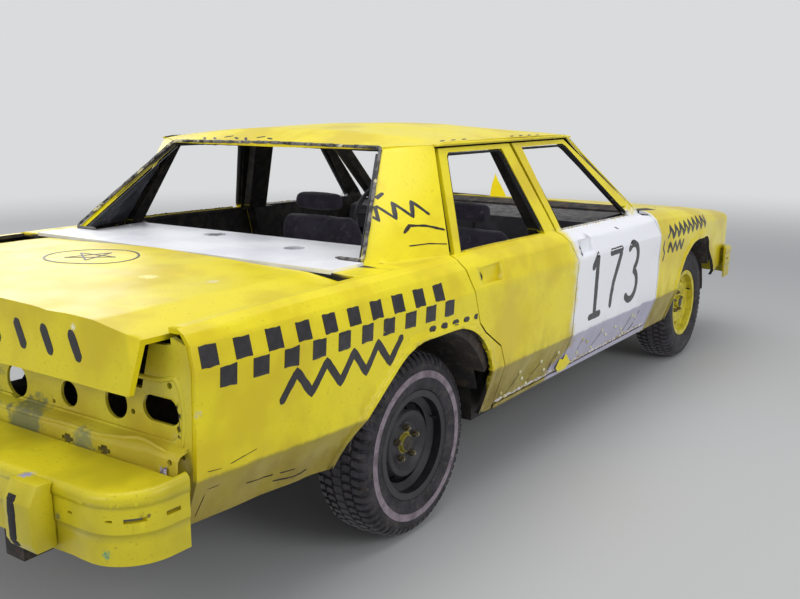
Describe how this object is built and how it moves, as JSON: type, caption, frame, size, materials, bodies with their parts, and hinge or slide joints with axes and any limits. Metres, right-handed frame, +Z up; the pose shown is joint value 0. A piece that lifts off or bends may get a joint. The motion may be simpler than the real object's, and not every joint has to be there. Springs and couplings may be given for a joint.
{
  "type": "demolition derby car",
  "caption": "Four-door derby sedan on its wheels, glass and lamps removed, with opening doors, hood and trunk lid and steered front wheels.",
  "frame": {"origin": "centre of the car's footprint on the ground, midway between the ends of its bumper guards", "axes": "+X forward, +Y to the car's left, +Z up"},
  "size_m": [5.18, 1.968, 1.4258],
  "materials": {
    "yellow_paint": "sprayed yellow enamel, drips and scuffs",
    "white_paint": "sprayed white enamel",
    "black_steel": "black painted steel",
    "tyre": "tyre rubber",
    "chassis": "dull black chassis paint with rust",
    "cast_iron": "rough casting",
    "seat_cloth": "grey purple cloth",
    "trim_plastic": "grained dark plastic",
    "radiator": "dull core"
  },
  "bodies": {
    "body": {"side_frame_right": "yellow_paint", "side_frame_left": "yellow_paint", "quarter_panel_right": "yellow_paint", "quarter_panel_left": "yellow_paint", "front_fender_right": "yellow_paint", "front_fender_left": "yellow_paint", "roof_panel": "yellow_paint", "rear_deck": "yellow_paint", "rear_shelf": "white_paint", "tail_panel": "yellow_paint", "floor_pan": "chassis", "firewall": "chassis", "dashboard": "trim_plastic", "steering_column": "trim_plastic", "front_seats": "seat_cloth", "chassis_frame": "chassis", "side_rails": "chassis", "rear_wheelhouses": "chassis", "front_wheelhouses": "chassis", "radiator": "radiator", "header_panel": "yellow_paint", "rear_bumper": "yellow_paint", "front_bumper": "yellow_paint", "bumper_guards": "yellow_paint", "engine_block": "cast_iron", "driveshaft": "cast_iron", "rear_axle": "cast_iron", "front_suspension": "cast_iron"},
    "front_door_right": {"front_door_right": "white_paint"},
    "front_door_left": {"front_door_left": "white_paint"},
    "rear_door_right": {"rear_door_right": "yellow_paint"},
    "rear_door_left": {"rear_door_left": "yellow_paint"},
    "hood": {"hood": "yellow_paint"},
    "trunk_lid": {"trunk_lid": "yellow_paint"},
    "steering_wheel": {"steering_wheel": "trim_plastic"},
    "knuckle_right": {"knuckle_right": "cast_iron"},
    "knuckle_left": {"knuckle_left": "cast_iron"},
    "front_wheel_right": {"front_rim_right": "yellow_paint", "front_tyre_right": "tyre"},
    "front_wheel_left": {"front_rim_left": "yellow_paint", "front_tyre_left": "tyre"},
    "rear_wheel_right": {"rear_rim_right": "black_steel", "rear_tyre_right": "tyre"},
    "rear_wheel_left": {"rear_rim_left": "black_steel", "rear_tyre_left": "tyre"}
  },
  "joints": [
    {"name": "front_door_right_hinge", "type": "hinge", "parent": "body", "child": "front_door_right", "pos_m": [0.915, -0.976, 0.6], "axis": [0, 0, 1], "range_deg": [0, 65]},
    {"name": "rear_door_right_hinge", "type": "hinge", "parent": "body", "child": "rear_door_right", "pos_m": [-0.123, -0.976, 0.6], "axis": [0, 0, 1], "range_deg": [0, 65]},
    {"name": "rear_wheel_right_spin", "type": "hinge", "parent": "body", "child": "rear_wheel_right", "pos_m": [-1.21, -0.787, 0.333], "axis": [0, 1, 0], "continuous": true},
    {"name": "front_door_left_hinge", "type": "hinge", "parent": "body", "child": "front_door_left", "pos_m": [0.915, 0.976, 0.6], "axis": [0, 0, -1], "range_deg": [0, 65]},
    {"name": "rear_door_left_hinge", "type": "hinge", "parent": "body", "child": "rear_door_left", "pos_m": [-0.123, 0.976, 0.6], "axis": [0, 0, -1], "range_deg": [0, 65]},
    {"name": "rear_wheel_left_spin", "type": "hinge", "parent": "body", "child": "rear_wheel_left", "pos_m": [-1.21, 0.787, 0.333], "axis": [0, 1, 0], "continuous": true},
    {"name": "hood_hinge", "type": "hinge", "parent": "body", "child": "hood", "pos_m": [0.975, 0, 0.99], "axis": [0, -1, 0], "range_deg": [0, 55]},
    {"name": "trunk_hinge", "type": "hinge", "parent": "body", "child": "trunk_lid", "pos_m": [-1.535, 0, 1.003], "axis": [0, 1, 0], "range_deg": [0, 75]},
    {"name": "steering_right", "type": "hinge", "parent": "body", "child": "knuckle_right", "pos_m": [1.693, -0.74, 0.333], "axis": [0, 0, 1], "range_deg": [-33, 33]},
    {"name": "steering_left", "type": "hinge", "parent": "body", "child": "knuckle_left", "pos_m": [1.693, 0.74, 0.333], "axis": [0, 0, 1], "range_deg": [-33, 33]},
    {"name": "steering_wheel_turn", "type": "hinge", "parent": "body", "child": "steering_wheel", "pos_m": [0.39, 0.4, 0.905], "axis": [-0.9063, 0, 0.4226], "range_deg": [-528, 528]},
    {"name": "front_wheel_right_spin", "type": "hinge", "parent": "knuckle_right", "child": "front_wheel_right", "pos_m": [1.693, -0.79, 0.333], "axis": [0, 1, 0], "continuous": true},
    {"name": "front_wheel_left_spin", "type": "hinge", "parent": "knuckle_left", "child": "front_wheel_left", "pos_m": [1.693, 0.79, 0.333], "axis": [0, 1, 0], "continuous": true}
  ],
  "couplings": [
    {"joint": "steering_left", "follows": "steering_right", "ratio": 1},
    {"joint": "steering_wheel_turn", "follows": "steering_right", "ratio": 16}
  ]
}
